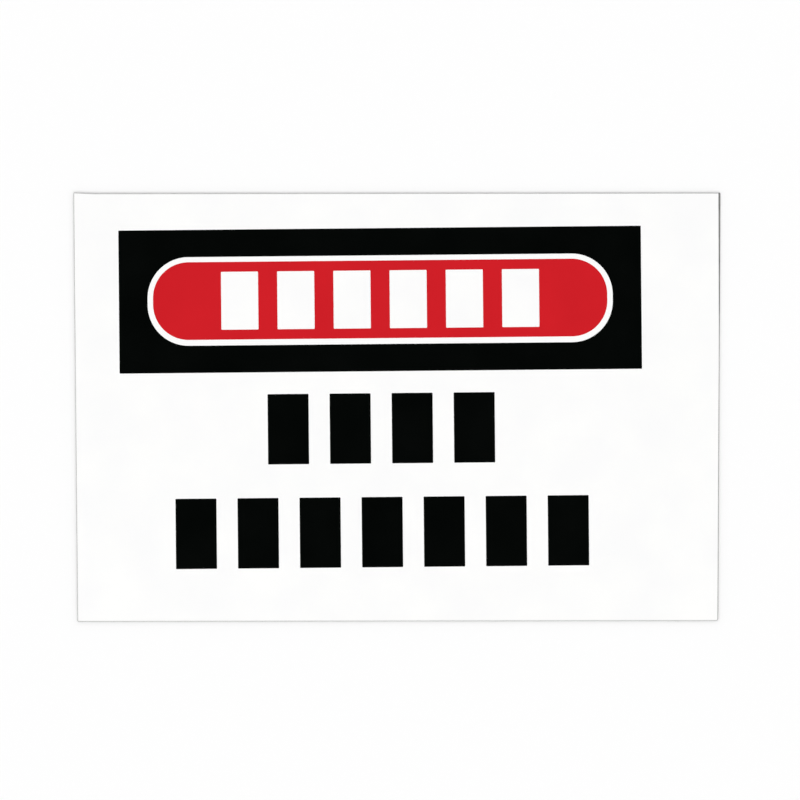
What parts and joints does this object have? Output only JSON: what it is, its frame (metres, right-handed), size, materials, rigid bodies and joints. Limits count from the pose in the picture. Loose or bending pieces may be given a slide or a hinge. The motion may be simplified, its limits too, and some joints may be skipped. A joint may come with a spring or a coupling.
{
  "type": "high voltage warning sign",
  "caption": "Flat rectangular warning sign of rigid white plastic, with a printed black panel around a red oblong above rows of plain black blocks.",
  "frame": {"origin": "middle of the sheet on its underside, where it rests on a surface", "axes": "+X to the print's right along the sheet's long side, +Y to the print's top, +Z out of the printed face"},
  "size_m": [0.4594, 0.3049, 0.0014],
  "materials": {
    "white_plastic": "satin",
    "black_ink": "satin screen ink",
    "red_ink": "satin screen ink"
  },
  "bodies": {
    "root": {"sign_sheet": "white_plastic"}
  },
  "joints": []
}
